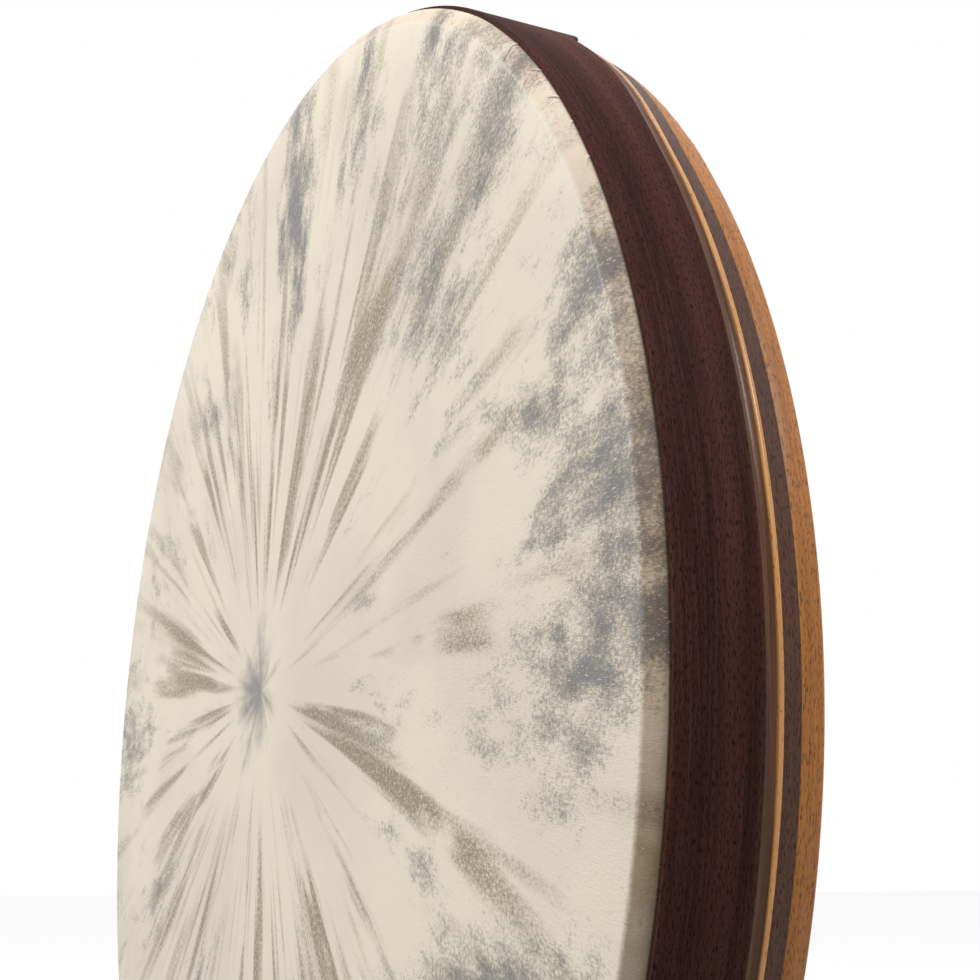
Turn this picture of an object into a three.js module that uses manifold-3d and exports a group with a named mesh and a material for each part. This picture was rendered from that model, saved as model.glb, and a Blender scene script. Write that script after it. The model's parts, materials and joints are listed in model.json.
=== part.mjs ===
// A daf: a wide, shallow frame drum with a goatskin head and steel rings hung inside its rim.
// Millimetres, +Z up. The drum stands on its rim, its skin faces -Y and its open back faces +Y.
// A depth is measured from the face of the skin towards the back, and a radius from the drum's axis.
import * as THREE from "three";
import { mergeVertices } from "three/addons/utils/BufferGeometryUtils.js";
import Module from "manifold-3d";

const wasm = await Module();
wasm.setup();

// Rim, driving dimensions
const outerRadius = 250;
const rimDepth = 50;
const coreThickness = 13.1;
const darkPlyThickness = 1;
const goldHoopThickness = 1;
const darkHoopThickness = 1.5;
const glueLine = 0.12;
const darkHoopFront = 4.2;
const backEdgeRound = 1.2;
const frontEdgeRound = 0.5;
const innerEdgeRound = 1.5;

// Head: the skin turns over the rounded bearing edge and its lap runs under the dark hoop
const skinThickness = 0.8;
const bearingSpan = 6;
const bearingDrop = 4.2;
const bearingSlope = 0.3;
const bearingFall = 2.8;
const lapEnd = 20;
const lapClearance = 0.3;

// Grip relief: the back edge is cut through the layers, all round but for a land at the top
const reliefWidth = 22;
const hoopBevelWidth = 1.6;
const goldShow = 6;
const goldHollowDepth = 0.55;
const goldCrestFall = 0.1;
const goldCrestWidth = 1.3;
const darkShow = 6;
const coreBevelDrop = 1;
const coreRoundDrop = 1.8;
const coreRoundWidth = 1.6;
const landHalfAngle = 30.5;
const landRampAngle = 10.5;
const landStep = 0.5;

// Jingles: each ring hangs in a screw eye
const jingleCount = 24;
const jingleDepth = 26.5;
const eyeReach = 11;
const eyeMeanRadius = 4.8;
const eyeWireRadius = 0.8;
const shankRadius = 1;
const shankBite = 7;
const pilotClearance = 0.3;
const ringMeanRadius = 8;
const ringWireRadius = 0.8;
const hangGap = 0.3;
const wallGap = 0.6;

// Facets
const rimFacets = 72;
const rampFacets = 6;
const arcSteps = 5;
const eyeFacets = 10;
const ringFacets = 12;
const wireSides = 5;

// Radii of the layers, from the outside in
const darkHoopInner = outerRadius - darkHoopThickness;
const goldOuter = darkHoopInner - glueLine;
const goldInner = goldOuter - goldHoopThickness;
const darkPlyOuter = goldInner - glueLine;
const darkPlyInner = darkPlyOuter - darkPlyThickness;
const coreOuter = darkPlyInner - glueLine;
const coreInner = coreOuter - coreThickness;

// Bearing edge: the skin's outside, and the skin's inside and the wood set in from it
const skinOuter = goldOuter;
const skinInner = skinOuter - skinThickness;
const woodInset = skinOuter - darkPlyOuter;
const bearingCrestRadius = darkPlyOuter - bearingSpan;

// Depths where the relief passes from one layer to the next
const reliefStart = rimDepth - reliefWidth;
const bevelMiddle = reliefStart + hoopBevelWidth * 0.6;
const hoopEnd = reliefStart + hoopBevelWidth;
const goldEnd = hoopEnd + goldShow;
const darkPlyEnd = goldEnd + darkShow;
const coreBevelMiddle = (darkPlyEnd + rimDepth) / 2;

// The rim stands on the flat of its lowest facet
const facetAngle = (2 * Math.PI) / rimFacets;
const axisHeight = outerRadius * Math.cos(facetAngle / 2);

const material = (name, color, roughness, metalness = 0) =>
  new THREE.MeshStandardMaterial({ name, color, roughness, metalness });
const goatskin = material("goatskin", 0xd9d2c1, 0.55);
const rosewood = material("rosewood", 0x3f2420, 0.45);
const goldWood = material("gold_wood", 0xb5803f, 0.35);
const darkWood = material("dark_wood", 0x4c342a, 0.45);
const honeyWood = material("honey_wood", 0x8f5f33, 0.4);
const steel = material("steel", 0xb9bcc0, 0.3, 1);

// Angles round the rim, shared by every layer so that their facets nest: even steps, with finer ones
// where the relief runs out into the land at the top.
function rimAngles() {
  const angles = [];
  for (let i = 0; i < rimFacets; i++) angles.push((i + 0.5) * facetAngle);
  const ramp = THREE.MathUtils.degToRad(landRampAngle);
  const land = THREE.MathUtils.degToRad(landHalfAngle);
  for (const side of [-1, 1]) {
    for (let i = 0; i <= rampFacets; i++) {
      angles.push(Math.PI / 2 + side * (land + (ramp * i) / rampFacets));
    }
  }
  const sorted = angles.sort((a, b) => a - b);
  return sorted.filter((angle, i) => i === 0 || angle - sorted[i - 1] > facetAngle / 40);
}
const angles = rimAngles();

// How far the relief is cut at an angle: 0 on the land, 1 past the ramp at each of its ends. The ramp
// leaves the land in a short curve and eases into the full depth.
function reliefShare(angle) {
  const turn = Math.abs(THREE.MathUtils.radToDeg(angle) - 90);
  const fromLand = Math.min(turn, 360 - turn) - landHalfAngle;
  const along = THREE.MathUtils.clamp(fromLand / landRampAngle, 0, 1);
  return 1 - (1 - along ** 1.3) ** 2;
}

// A point of the back edge: where it lies on the land, moving to where the relief puts it.
function backPoint(share, landRadius, landSteps, reliefRadius, reliefDepth) {
  const landDepth = rimDepth - landSteps * landStep;
  return new THREE.Vector2(
    THREE.MathUtils.lerp(landRadius, reliefRadius, share),
    THREE.MathUtils.lerp(landDepth, reliefDepth, share),
  );
}

// The bearing edge, set in from the skin's outside: it leaves its crest at a slope and ends along the side.
function bearingCurve(inset, from = 0, to = 1, steps = arcSteps) {
  const points = [];
  for (let i = 0; i <= steps; i++) {
    const t = from + ((to - from) * i) / steps;
    const radius = skinOuter - inset - bearingSpan * (1 - t) ** 2;
    const depth = inset + 2 * bearingSlope * bearingSpan * t * (1 - t) + bearingDrop * t ** 2;
    points.push(new THREE.Vector2(radius, depth));
  }
  return points;
}

// Share of the wood's bearing curve at which it reaches a radius.
const bearingShare = (radius) => 1 - Math.sqrt((skinOuter - woodInset - radius) / bearingSpan);

// Sweeps a section of (radius, depth) points round the drum's axis. The section may change with the
// angle but keeps its count, and it runs clockwise from its inner front corner: front, side, back.
function sweepRing(sectionAt) {
  const sections = angles.map((angle) => sectionAt(reliefShare(angle)));
  const positions = [];
  const place = (k, j) => {
    const i = k % angles.length;
    const { x: radius, y: depth } = sections[i][j];
    return [radius * Math.cos(angles[i]), depth - rimDepth / 2, radius * Math.sin(angles[i]) + axisHeight];
  };
  const triangle = (a, b, c) => positions.push(...a, ...b, ...c);
  for (let k = 0; k < angles.length; k++) {
    for (let j = 0; j < sections[k].length; j++) {
      const next = (j + 1) % sections[k].length;
      const [near, far] = [sections[k][j].x > 0, sections[k][next].x > 0];
      if (near) triangle(place(k, j), place(k + 1, next), place(k + 1, j));
      if (far) triangle(place(k, j), place(k, next), place(k + 1, next));
    }
  }
  const geometry = new THREE.BufferGeometry();
  geometry.setAttribute("position", new THREE.Float32BufferAttribute(positions, 3));
  return geometry;
}

// A closed geometry as a solid for joining and cutting, and back again.
function solidOf(geometry) {
  const bare = new THREE.BufferGeometry().setAttribute("position", geometry.getAttribute("position"));
  const merged = mergeVertices(bare.setIndex(geometry.index), 1e-4);
  return new wasm.Manifold(
    new wasm.Mesh({
      numProp: 3,
      vertProperties: merged.attributes.position.array,
      triVerts: new Uint32Array(merged.index.array),
    }),
  );
}

function geometryOf(solid) {
  const { vertProperties, triVerts } = solid.getMesh();
  const geometry = new THREE.BufferGeometry();
  geometry.setAttribute("position", new THREE.BufferAttribute(new Float32Array(vertProperties), 3));
  return geometry.setIndex(new THREE.BufferAttribute(new Uint32Array(triVerts), 1));
}

// Goatskin head: flat over the drum, round the bearing edge and down its lap under the dark hoop
function skinSection() {
  const outside = bearingCurve(0);
  const inside = bearingCurve(skinThickness).reverse();
  return [
    new THREE.Vector2(0, skinThickness),
    new THREE.Vector2(0, 0),
    ...outside,
    new THREE.Vector2(skinOuter, lapEnd),
    new THREE.Vector2(skinInner, lapEnd),
    ...inside,
  ];
}

// Rim core: the thick bent ply, with the bearing edge at its front and the relief at its back
function coreSection(share) {
  return [
    new THREE.Vector2(coreInner, woodInset + bearingFall),
    new THREE.Vector2((coreInner + bearingCrestRadius) / 2, woodInset + bearingFall / 4),
    ...bearingCurve(woodInset, 0, bearingShare(coreOuter)),
    backPoint(share, coreOuter, 3, coreOuter, darkPlyEnd),
    backPoint(share, coreOuter, 2, coreOuter - coreBevelDrop * 0.4, coreBevelMiddle),
    backPoint(share, coreOuter, 1, coreOuter - coreBevelDrop, rimDepth - coreRoundWidth),
    backPoint(share, coreOuter, 0, coreOuter - coreBevelDrop - coreRoundDrop, rimDepth),
    new THREE.Vector2(coreInner + innerEdgeRound, rimDepth),
    new THREE.Vector2(coreInner, rimDepth - innerEdgeRound),
  ];
}

// Dark ply: the thin dark layer bent round the core
function darkPlySection(share) {
  return [
    ...bearingCurve(woodInset, bearingShare(darkPlyInner), 1, 2),
    backPoint(share, darkPlyOuter, 1, darkPlyOuter, goldEnd),
    backPoint(share, darkPlyInner, 0, darkPlyInner, darkPlyEnd),
  ];
}

// Gold hoop: the pale strip that butts against the skin's lap and shows as a hollowed bead in the relief
function goldHoopSection(share) {
  const front = lapEnd + lapClearance;
  return [
    new THREE.Vector2(goldInner, front),
    new THREE.Vector2(goldOuter, front),
    backPoint(share, goldOuter, 4, goldOuter, hoopEnd),
    backPoint(share, goldOuter, 3, goldOuter - goldHollowDepth, hoopEnd + goldShow * 0.4),
    backPoint(share, goldOuter, 2, goldOuter - goldCrestFall, goldEnd - goldCrestWidth),
    backPoint(share, goldOuter, 1, goldOuter - goldHoopThickness / 2, goldEnd - goldCrestWidth / 4),
    backPoint(share, goldInner, 0, goldInner, goldEnd),
  ];
}

// Dark hoop: the rosewood band over the skin's lap, with a bevelled back edge
function darkHoopSection(share) {
  const landRound = backEdgeRound / landStep;
  const landShoulder = outerRadius - backEdgeRound * 0.3;
  const bevelShoulder = outerRadius - darkHoopThickness * 0.25;
  return [
    new THREE.Vector2(darkHoopInner, darkHoopFront),
    new THREE.Vector2(outerRadius - frontEdgeRound, darkHoopFront),
    new THREE.Vector2(outerRadius, darkHoopFront + frontEdgeRound),
    backPoint(share, outerRadius, landRound, outerRadius, reliefStart),
    backPoint(share, landShoulder, landRound * 0.3, bevelShoulder, bevelMiddle),
    backPoint(share, outerRadius - backEdgeRound, 0, darkHoopInner, hoopEnd),
    backPoint(share, darkHoopInner, 0, darkHoopInner, hoopEnd - landStep),
  ];
}

// Each station's own frame has +X outwards along the radius, +Y along the drum's axis
const eyeTipRadius = coreInner - eyeReach;
const shankStart = eyeTipRadius + 2 * eyeMeanRadius;
const shankEnd = coreInner + shankBite;

function radialCylinder(radius, from, to) {
  const geometry = new THREE.CylinderGeometry(radius, radius, to - from, wireSides);
  return geometry.rotateZ(-Math.PI / 2).translate((from + to) / 2, 0, 0);
}

// Screw eye: a closed loop of wire on a shank that bites into the core
function screwEyeGeometry() {
  const loop = new THREE.TorusGeometry(eyeMeanRadius, eyeWireRadius, wireSides, eyeFacets);
  loop.translate(eyeTipRadius + eyeMeanRadius, 0, 0);
  const shank = radialCylinder(shankRadius, shankStart, shankEnd);
  return geometryOf(solidOf(loop).add(solidOf(shank)));
}

// Jingle ring: it hangs round the innermost wire of its eye, as far down as the wall lets it
const ringReach = ringMeanRadius - ringWireRadius - eyeWireRadius - hangGap;
const ringClearOfWall = eyeReach - ringMeanRadius - ringWireRadius - wallGap;
const leanLimit = Math.PI / 2 + Math.asin(ringClearOfWall / ringReach);

function restLean(stationAngle) {
  const straightDown = -Math.PI / 2;
  const inwards = stationAngle + Math.PI;
  const lean = Math.atan2(Math.sin(straightDown - inwards), Math.cos(straightDown - inwards));
  return THREE.MathUtils.clamp(lean, -leanLimit, leanLimit);
}

function jingleRingGeometry() {
  const ring = new THREE.TorusGeometry(ringMeanRadius, ringWireRadius, wireSides, ringFacets);
  return geometryOf(solidOf(ring.rotateX(Math.PI / 2)));
}

const stationAngle = (i) => Math.PI / 2 + (2 * Math.PI * i) / jingleCount;
const stationName = (kind, i) => `${kind}_${String(i + 1).padStart(2, "0")}`;

function atStation(i, mesh) {
  const station = new THREE.Group();
  station.position.set(0, jingleDepth - rimDepth / 2, axisHeight);
  station.rotation.y = -stationAngle(i);
  return station.add(mesh);
}

function namedMesh(name, geometry, finish) {
  const mesh = new THREE.Mesh(geometry, finish);
  mesh.name = name;
  return mesh;
}

// The core with a pilot hole for each screw eye
function drilledCore() {
  let core = solidOf(sweepRing(coreSection));
  const pilotRadius = shankRadius + pilotClearance;
  const pilot = radialCylinder(pilotRadius, coreInner - shankBite, shankEnd + pilotClearance);
  for (let i = 0; i < jingleCount; i++) {
    const hole = pilot.clone().rotateY(-stationAngle(i));
    core = core.subtract(solidOf(hole.translate(0, jingleDepth - rimDepth / 2, axisHeight)));
  }
  return geometryOf(core);
}

const daf = new THREE.Group();
daf.add(namedMesh("goatskin_head", sweepRing(skinSection), goatskin));
daf.add(namedMesh("dark_hoop", sweepRing(darkHoopSection), rosewood));
daf.add(namedMesh("gold_hoop", sweepRing(goldHoopSection), goldWood));
daf.add(namedMesh("dark_ply", sweepRing(darkPlySection), darkWood));
daf.add(namedMesh("rim_core", drilledCore(), honeyWood));

const eyeGeometry = screwEyeGeometry();
const ringGeometry = jingleRingGeometry();
for (let i = 0; i < jingleCount; i++) {
  daf.add(atStation(i, namedMesh(stationName("screw_eye", i), eyeGeometry, steel)));
  const ring = namedMesh(stationName("jingle_ring", i), ringGeometry, steel);
  const lean = restLean(stationAngle(i));
  ring.position.set(eyeTipRadius - ringReach * Math.cos(lean), 0, -ringReach * Math.sin(lean));
  daf.add(atStation(i, ring));
}

export default daf;
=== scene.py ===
"""Looks of a daf: a goatskin frame drum on a laminated rim, with steel rings hung inside it.

Sizes are in millimetres as the maker would give them, and turn into metres where a mesh is made.
A depth runs from the face of the skin towards the open back, along +Y; a radius is from the drum's axis.
"""

import json
import logging
import math
from dataclasses import dataclass, field
from enum import Enum
from typing import Callable, Optional, Sequence, Union

import bpy
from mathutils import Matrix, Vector


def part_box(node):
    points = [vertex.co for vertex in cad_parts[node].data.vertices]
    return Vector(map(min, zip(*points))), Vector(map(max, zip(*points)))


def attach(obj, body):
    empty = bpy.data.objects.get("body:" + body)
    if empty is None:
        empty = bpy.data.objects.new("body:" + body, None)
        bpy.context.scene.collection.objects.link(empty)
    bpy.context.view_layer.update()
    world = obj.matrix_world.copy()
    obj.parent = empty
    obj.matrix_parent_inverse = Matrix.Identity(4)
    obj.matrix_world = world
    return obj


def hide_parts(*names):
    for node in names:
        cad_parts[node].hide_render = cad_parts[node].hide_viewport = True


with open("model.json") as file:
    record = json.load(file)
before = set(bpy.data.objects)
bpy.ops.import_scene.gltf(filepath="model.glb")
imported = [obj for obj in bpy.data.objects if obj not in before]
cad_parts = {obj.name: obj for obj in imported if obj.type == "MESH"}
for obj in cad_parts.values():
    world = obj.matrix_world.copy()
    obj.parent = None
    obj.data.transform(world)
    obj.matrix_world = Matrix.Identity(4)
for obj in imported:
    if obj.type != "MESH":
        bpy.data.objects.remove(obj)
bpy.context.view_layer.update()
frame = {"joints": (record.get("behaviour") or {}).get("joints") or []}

LOG = logging.getLogger("daf")
MM = 0.001
PHOTO_PIXELS = 980
# Heart of the skin's pattern, in millimetres from the drum's axis.
HEART = (-27.0, 3.0)
# Shifts that keep the noise's seams, which lie on its axes, off the skin.
PATTERN_SHIFT = (29.87, 11.61)
FLAT_SHIFT = (0.613, 0.271)

Color = tuple[float, float, float]
Socket = Union[bpy.types.NodeSocket, float, Sequence[float]]


def eased(value: float, start: float, span: float) -> float:
    """A smooth rise from 0 at a start to 1 at the end of a span."""
    share = min(max((value - start) / span, 0.0), 1.0)
    return share * share * (3 - 2 * share)


class Slot(Enum):
    """Material slots of the record that the pieces take their finish from."""

    GOATSKIN = "goatskin"
    ROSEWOOD = "rosewood"
    GOLD_WOOD = "gold_wood"
    DARK_WOOD = "dark_wood"
    HONEY_WOOD = "honey_wood"
    STEEL = "steel"


@dataclass(frozen=True)
class DrumFrame:
    """Where the drum stands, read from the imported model."""

    axis_height: float = (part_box("dark_hoop")[0].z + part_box("dark_hoop")[1].z) / 2
    face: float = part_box("goatskin_head")[0].y

    def centre(self) -> Vector:
        """Middle of the skin's face."""
        return Vector((0.0, self.face, self.axis_height))

    def place(self, radius: float, depth: float, angle: float) -> Vector:
        """Turn a radius, a depth and an angle into a point.

        Args:
            radius: Distance from the drum's axis, in millimetres.
            depth: Distance behind the skin's face, in millimetres.
            angle: Turn from +X towards +Z, in radians.

        Returns:
            The point in the shared frame, in metres.
        """
        out = radius * MM
        across, up = out * math.cos(angle), out * math.sin(angle)
        return Vector((across, self.face + depth * MM, self.axis_height + up))

    def polar(self, point: Vector) -> tuple[float, float, float]:
        """Radius and depth in millimetres, and angle in radians, of a point."""
        up = point.z - self.axis_height
        return math.hypot(point.x, up) / MM, (point.y - self.face) / MM, math.atan2(up, point.x)


DRUM = DrumFrame()


@dataclass(frozen=True)
class RimSizes:
    """Sizes of the rim's layers, as the solids have them."""

    outer_radius: float = 250.0
    rim_depth: float = 50.0
    core_thickness: float = 13.1
    dark_ply_thickness: float = 1.0
    gold_hoop_thickness: float = 1.0
    dark_hoop_thickness: float = 1.5
    glue_line: float = 0.12
    hoop_front: float = 4.2
    skin_thickness: float = 0.8
    bearing_span: float = 6.0
    bearing_drop: float = 4.2
    bearing_slope: float = 0.3
    bearing_fall: float = 2.8
    lap_end: float = 20.0
    lap_clearance: float = 0.3
    relief_width: float = 22.0
    hoop_bevel: float = 1.6
    gold_show: float = 6.0
    gold_hollow: float = 0.55
    gold_bead: float = 1.7
    dark_show: float = 6.0
    core_bevel: float = 1.0
    core_round: float = 1.8
    core_corner: float = 1.9
    core_land_ease: float = 2.4
    inner_round: float = 1.5
    edge_round: float = 1.2
    hoop_ease: float = 0.5
    land_half_angle: float = 30.5
    land_ramp_angle: float = 10.5
    ramp_power: float = 1.3
    slide_depth: float = 5.5
    slide_start: float = 42.0
    slide_span: float = 18.0
    step_depth: float = 1.7
    step_rise: tuple[float, float] = (47.0, 12.0)
    step_fall: tuple[float, float] = (105.0, 40.0)

    @property
    def hoop_inner(self) -> float:
        """Inside of the dark hoop."""
        return self.outer_radius - self.dark_hoop_thickness

    @property
    def gold_outer(self) -> float:
        """Outside of the gold hoop and of the skin's lap."""
        return self.hoop_inner - self.glue_line

    @property
    def gold_inner(self) -> float:
        """Inside of the gold hoop."""
        return self.gold_outer - self.gold_hoop_thickness

    @property
    def ply_outer(self) -> float:
        """Outside of the dark ply."""
        return self.gold_inner - self.glue_line

    @property
    def ply_inner(self) -> float:
        """Inside of the dark ply."""
        return self.ply_outer - self.dark_ply_thickness

    @property
    def core_outer(self) -> float:
        """Outside of the rim's core."""
        return self.ply_inner - self.glue_line

    @property
    def core_inner(self) -> float:
        """Inner wall of the rim's core."""
        return self.core_outer - self.core_thickness

    @property
    def wood_inset(self) -> float:
        """How far the wood of the bearing edge lies in from the skin's outside."""
        return self.gold_outer - self.ply_outer

    @property
    def crest(self) -> float:
        """Radius at which the skin leaves the flat of the drum."""
        return self.gold_outer - self.bearing_span

    @property
    def relief_start(self) -> float:
        """Depth at which the relief leaves the dark hoop's face."""
        return self.rim_depth - self.relief_width

    @property
    def hoop_end(self) -> float:
        """Depth at which the relief leaves the dark hoop."""
        return self.relief_start + self.hoop_bevel

    @property
    def gold_end(self) -> float:
        """Depth at which the relief leaves the gold hoop."""
        return self.hoop_end + self.gold_show

    @property
    def ply_end(self) -> float:
        """Depth at which the relief leaves the dark ply."""
        return self.gold_end + self.dark_show

    @staticmethod
    def from_top(angle: float) -> float:
        """Turn away from the top of the drum, in degrees."""
        return math.degrees(abs(math.remainder(angle - math.pi / 2, 2 * math.pi)))

    def relief_share(self, angle: float) -> float:
        """How far the relief is cut at an angle: 0 on the land at the top, 1 past its ramps."""
        along = (self.from_top(angle) - self.land_half_angle) / self.land_ramp_angle
        return 1 - (1 - min(max(along, 0.0), 1.0) ** self.ramp_power) ** 2

    def relief_slide(self, angle: float) -> float:
        """How far the relief's stripes lie back beside the land, in millimetres."""
        return self.slide_depth * (1 - eased(self.from_top(angle), self.slide_start, self.slide_span))

    def step_back(self, angle: float) -> float:
        """How far the hoop's front edge steps back beside the top, where the skin bulges over it."""
        turn = math.degrees(angle) % 360.0
        return self.step_depth * eased(turn, *self.step_rise) * (1 - eased(turn, *self.step_fall))

    def bearing_point(self, inset: float, share: float) -> tuple[float, float]:
        """Radius and depth of a point on the bearing edge, set in from the skin's outside."""
        radius = self.gold_outer - inset - self.bearing_span * (1 - share) ** 2
        rise = 2 * self.bearing_slope * self.bearing_span * share * (1 - share)
        return radius, inset + rise + self.bearing_drop * share**2

    def bearing_share(self, radius: float) -> float:
        """Share of the wood's bearing edge at which it reaches a radius."""
        return 1 - math.sqrt((self.ply_outer - radius) / self.bearing_span)


RIM = RimSizes()


@dataclass(frozen=True)
class SectionPoint:
    """A point of a layer's section, and where it lies on the land at the top."""

    radius: float
    depth: float
    land_radius: Optional[float] = None
    land_depth: Optional[float] = None

    def land(self) -> tuple[float, float]:
        """Radius and depth on the land."""
        radius = self.radius if self.land_radius is None else self.land_radius
        return radius, self.depth if self.land_depth is None else self.land_depth


class Graph:
    """A material's node tree, with short calls for the nodes that the finishes use."""

    def __init__(self, name: str) -> None:
        """Start a material with its principled shader.

        Args:
            name: Name of the material.
        """
        self.material = bpy.data.materials.new(name)
        self.material.use_nodes = True
        self.tree = self.material.node_tree
        self.shader = self.tree.nodes["Principled BSDF"]

    def node(self, kind: str, **settings: object) -> bpy.types.Node:
        """Add a node and set its properties."""
        made = self.tree.nodes.new(kind)
        for key, value in settings.items():
            setattr(made, key, value)
        return made

    def feed(self, socket: bpy.types.NodeSocket, value: Socket) -> None:
        """Link a socket, or set its plain value."""
        if isinstance(value, bpy.types.NodeSocket):
            self.tree.links.new(value, socket)
        else:
            socket.default_value = value

    def math(self, operation: str, *values: Socket) -> bpy.types.NodeSocket:
        """Result of a math node on up to three values."""
        made = self.node("ShaderNodeMath", operation=operation)
        for socket, value in zip(made.inputs, values):
            self.feed(socket, value)
        return made.outputs[0]

    def band(
        self, value: Socket, low: float, high: float, start: float = 0.0, end: float = 1.0
    ) -> bpy.types.NodeSocket:
        """A smooth step of a value from low to high.

        Args:
            value: The value to step.
            low: Value at which the step starts.
            high: Value at which the step ends.
            start: Result at and before low.
            end: Result at and past high.

        Returns:
            The stepped value.
        """
        made = self.node("ShaderNodeMapRange", interpolation_type="SMOOTHSTEP")
        for socket, number in zip(made.inputs, (value, low, high, start, end)):
            self.feed(socket, number)
        return made.outputs[0]

    def combine(self, x: Socket, y: Socket, z: Socket) -> bpy.types.NodeSocket:
        """A vector from three values."""
        made = self.node("ShaderNodeCombineXYZ")
        for socket, value in zip(made.inputs, (x, y, z)):
            self.feed(socket, value)
        return made.outputs[0]

    def noise(
        self,
        vector: Socket,
        scale: float,
        detail: float = 2.0,
        roughness: float = 0.5,
        distortion: float = 0.0,
    ) -> bpy.types.NodeSocket:
        """Noise from 0 to 1 at a vector."""
        made = self.node("ShaderNodeTexNoise")
        self.feed(made.inputs["Vector"], vector)
        settings = {"Scale": scale, "Detail": detail, "Roughness": roughness, "Distortion": distortion}
        for key, value in settings.items():
            made.inputs[key].default_value = value
        return made.outputs["Fac"]

    def scaled(
        self, vector: Socket, scale: Sequence[float], shift: Sequence[float] = (0, 0, 0)
    ) -> bpy.types.NodeSocket:
        """A vector shifted and then scaled along each axis."""
        made = self.node("ShaderNodeMapping")
        self.feed(made.inputs["Vector"], vector)
        made.inputs["Scale"].default_value = scale
        made.inputs["Location"].default_value = shift
        return made.outputs[0]

    def mix(self, share: Socket, first: Socket, second: Socket, blend: str = "MIX") -> bpy.types.NodeSocket:
        """A colour mixed from two by a share."""
        made = self.node("ShaderNodeMix", data_type="RGBA", blend_type=blend)
        self.feed(made.inputs[0], share)
        for socket, value in ((made.inputs[6], first), (made.inputs[7], second)):
            self.feed(socket, (*value, 1.0) if isinstance(value, tuple) else value)
        return made.outputs[2]

    def bump(self, height: Socket, strength: float, distance: float) -> None:
        """Give the shader a bump from a height.

        Args:
            height: Height from 0 to 1.
            strength: Strength of the bump.
            distance: Height of the bump, in millimetres.
        """
        made = self.node("ShaderNodeBump")
        made.inputs["Strength"].default_value = strength
        made.inputs["Distance"].default_value = distance * MM
        self.feed(made.inputs["Height"], height)
        self.tree.links.new(made.outputs["Normal"], self.shader.inputs["Normal"])

    def drum_axes(self) -> tuple[bpy.types.NodeSocket, bpy.types.NodeSocket, bpy.types.NodeSocket]:
        """Coordinates of the drum at the shaded point.

        Returns:
            Sideways, depth and upwards distance from the middle of the skin's face, in metres.
        """
        coordinates = self.node("ShaderNodeTexCoord")
        centred = self.scaled(coordinates.outputs["Object"], (1, 1, 1), tuple(-DRUM.centre()))
        parts = self.node("ShaderNodeSeparateXYZ")
        self.feed(parts.inputs[0], centred)
        return parts.outputs[0], parts.outputs[1], parts.outputs[2]

    def radius(self, across: Socket, up: Socket) -> bpy.types.NodeSocket:
        """Distance from the drum's axis, in metres."""
        squares = self.math("ADD", self.math("MULTIPLY", across, across), self.math("MULTIPLY", up, up))
        return self.math("SQRT", squares)


@dataclass(frozen=True)
class WoodFinish:
    """A bent wood whose grain runs round the rim, with open pores, a satin sheen and, where a hollow colour
    is given, painted shade in the relief's hollow.
    """

    slot: Slot
    dark: Color
    middle: Color
    light: Color
    pore: Color
    pore_share: float = 0.46
    pore_depth: float = 0.75
    figure: float = 60.0
    roughness: float = 0.5
    ior: float = 1.2
    seed: float = 0.0
    # Painted shade: a darker colour laid into the gold hoop's hollow in front of its bead, as if the hollow
    # were turned from the lamps.
    hollow: Optional[Color] = None
    bead_show: float = 2.15
    bead_blend: float = 0.9

    def build(self) -> bpy.types.Material:
        """Make the material.

        Returns:
            The finished material.
        """
        g = Graph(self.slot.value)
        across, depth, up = g.drum_axes()
        radius = g.radius(across, up)
        turn = g.math("ARCTAN2", across, up)
        along = g.math("MULTIPLY", turn, RIM.outer_radius * MM)
        grain = g.combine(g.math("ADD", along, self.seed), depth, radius)
        figure = g.noise(g.scaled(grain, (2.2, self.figure, self.figure)), 1.0, 4.0, 0.55, 0.4)
        fibre = g.noise(g.scaled(grain, (26.0, 900.0, 900.0)), 1.0, 3.0, 0.6)
        pores = g.noise(g.scaled(grain, (560.0, 2400.0, 2400.0)), 1.0, 1.0, 0.5)
        pits = g.band(pores, self.pore_share, self.pore_share - 0.09)
        cloud = g.noise(g.scaled(grain, (9.0, 14.0, 14.0)), 1.0, 2.0)
        base = g.mix(g.band(figure, 0.3, 0.55), self.dark, self.middle)
        base = g.mix(g.band(figure, 0.52, 0.75), base, self.light)
        base = g.mix(g.band(fibre, 0.4, 0.7, 0.0, 0.6), base, self.light)
        base = g.mix(g.band(cloud, 0.4, 0.75, 0.0, 0.3), base, self.dark)
        # Painted shade: in front of the bead the wood takes the darker hollow colour, grained by the fibre.
        if self.hollow:
            bead = (RIM.gold_end - self.bead_show) * MM
            full = bead + self.bead_blend * MM
            cut = g.node("ShaderNodeAttribute", attribute_name="cut_depth").outputs["Fac"]
            worn = g.math("ADD", cut, g.math("MULTIPLY", fibre, 0.0008))
            shaded = g.mix(g.band(fibre, 0.3, 0.75), self.pore, self.hollow)
            base = g.mix(g.band(worn, bead, full), shaded, base)
            g.feed(g.shader.inputs["Specular IOR Level"], g.band(worn, bead, full, 0.22, 0.5))
        base = g.mix(g.math("MULTIPLY", pits, self.pore_depth), base, self.pore)
        g.feed(g.shader.inputs["Base Color"], base)
        rough = g.band(fibre, 0.2, 0.8, self.roughness - 0.06, self.roughness + 0.1)
        g.feed(g.shader.inputs["Roughness"], rough)
        g.shader.inputs["IOR"].default_value = self.ior
        g.bump(g.math("SUBTRACT", g.math("MULTIPLY", fibre, 0.4), pits), 0.35, 0.12)
        return g.material


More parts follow.
